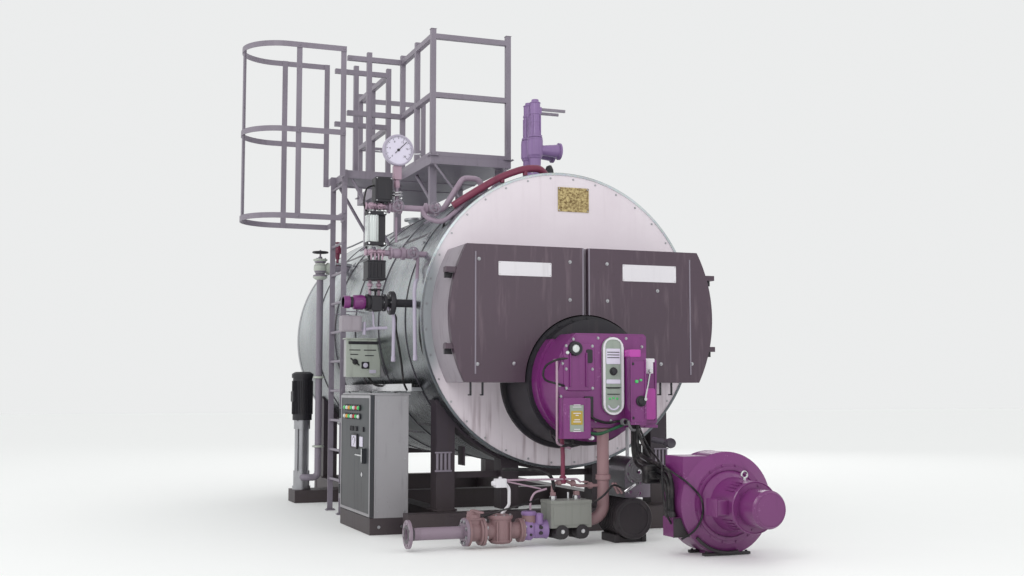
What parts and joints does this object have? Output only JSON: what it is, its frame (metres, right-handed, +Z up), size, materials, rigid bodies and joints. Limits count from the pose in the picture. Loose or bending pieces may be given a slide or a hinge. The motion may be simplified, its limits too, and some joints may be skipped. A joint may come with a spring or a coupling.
{
  "type": "industrial fire-tube steam boiler with burner, fan, ladder and platform",
  "caption": "Horizontal packaged fire-tube steam boiler on a skid with twin front doors, burner, blower, gas train, control cabinet, caged ladder, platform and fittings",
  "frame": {"origin": "on the ground, on the underside of the skid's front cross-beam, below the middle of the front plate's outer face", "axes": "+X to the right of the front doors, +Y back along the boiler, +Z up"},
  "size_m": [3.474, 7.71, 4.321],
  "materials": {
    "cladding": "rolled bright sheet, faintly brushed",
    "front_cream": "satin pale paint",
    "skid_paint": "dark satin paint",
    "box_grey": "satin grey paint",
    "door_brown": "dark mauve brown satin paint",
    "black_iron": "black satin",
    "brass_plate": "engraved plate without lettering",
    "burner_magenta": "magenta gloss paint",
    "panel_face": "grey green face",
    "bare_metal": "bare steel",
    "gas_salmon": "salmon paint",
    "cabinet_grey": "light grey powder coat",
    "cabinet_door_grey": "dark grey powder coat",
    "rail_grey": "grey mauve paint",
    "valve_violet": "violet paint",
    "gauge_case": "grey case with white dial",
    "gauge_glass": "gauge glass bodies",
    "cable_black": "black sheath"
  },
  "bodies": {
    "boiler": {"air_duct": "burner_magenta", "blowdown_valve": "black_iron", "burner_body": "burner_magenta", "burner_boxes": "burner_magenta", "burner_cables": "cable_black", "burner_panel": "panel_face", "burner_throat": "black_iron", "cabinet_body": "cabinet_grey", "cabinet_hinges": "cabinet_grey", "cabinet_stand": "skid_paint", "cable_tray": "bare_metal", "cage_bars": "rail_grey", "cage_hoops": "rail_grey", "cladding_bands": "cladding", "fan_casing": "burner_magenta", "fan_motor": "burner_magenta", "feed_pipe": "rail_grey", "feed_pump": "bare_metal", "feed_pump_motor": "black_iron", "flue_outlet": "box_grey", "front_plate": "front_cream", "gas_inlet_pipe": "gas_salmon", "gas_riser": "gas_salmon", "gas_valve_box": "box_grey", "gas_valves": "gas_salmon", "gauge_glasses": "gauge_glass", "hinge_brackets": "black_iron", "instrument_box": "cabinet_grey", "ladder": "rail_grey", "level_controllers": "black_iron", "level_pipework": "gas_salmon", "name_plate": "brass_plate", "oil_pump": "bare_metal", "oil_pump_motor": "black_iron", "platform_deck": "rail_grey", "platform_supports": "rail_grey", "pressure_gauge": "gauge_case", "pump_stand": "skid_paint", "rails_across": "rail_grey", "rails_along": "rail_grey", "rear_cover": "door_brown", "rear_plate": "cladding", "rear_smokebox": "box_grey", "saddles": "skid_paint", "safety_valves": "valve_violet", "shell": "cladding", "skid_crossbeams": "skid_paint", "skid_rails": "skid_paint", "smokebox": "box_grey", "steam_outlet": "bare_metal", "switch_box": "black_iron"},
    "front_door_left": {"front_door_left": "door_brown"},
    "front_door_right": {"front_door_right": "door_brown"},
    "cabinet_door": {"cabinet_door": "cabinet_door_grey"},
    "relief_lever_front": {"relief_lever_front": "bare_metal"},
    "relief_lever_rear": {"relief_lever_rear": "bare_metal"},
    "feed_valve_wheel": {"feed_valve_wheel": "black_iron"}
  },
  "joints": [
    {"name": "front_door_left_swing", "type": "hinge", "parent": "boiler", "child": "front_door_left", "pos_m": [-1.12, -0.4, 1.7], "axis": [0, 0, -1], "range_deg": [0, 100]},
    {"name": "front_door_right_swing", "type": "hinge", "parent": "boiler", "child": "front_door_right", "pos_m": [1.12, -0.4, 1.7], "axis": [0, 0, 1], "range_deg": [0, 100]},
    {"name": "cabinet_door_swing", "type": "hinge", "parent": "boiler", "child": "cabinet_door", "pos_m": [-1.52, 1.294, 0.61], "axis": [0, 0, -1], "range_deg": [0, 110]},
    {"name": "relief_lever_front_lift", "type": "hinge", "parent": "boiler", "child": "relief_lever_front", "pos_m": [0.04, 0.59, 3.558], "axis": [0, -1, 0], "range_deg": [0, 12]},
    {"name": "relief_lever_rear_lift", "type": "hinge", "parent": "boiler", "child": "relief_lever_rear", "pos_m": [0.04, 0.74, 3.558], "axis": [0, -1, 0], "range_deg": [0, 12]},
    {"name": "feed_valve_turn", "type": "hinge", "parent": "boiler", "child": "feed_valve_wheel", "pos_m": [-1.276, 3.36, 2.545], "axis": [0, 0, 1], "continuous": true}
  ]
}
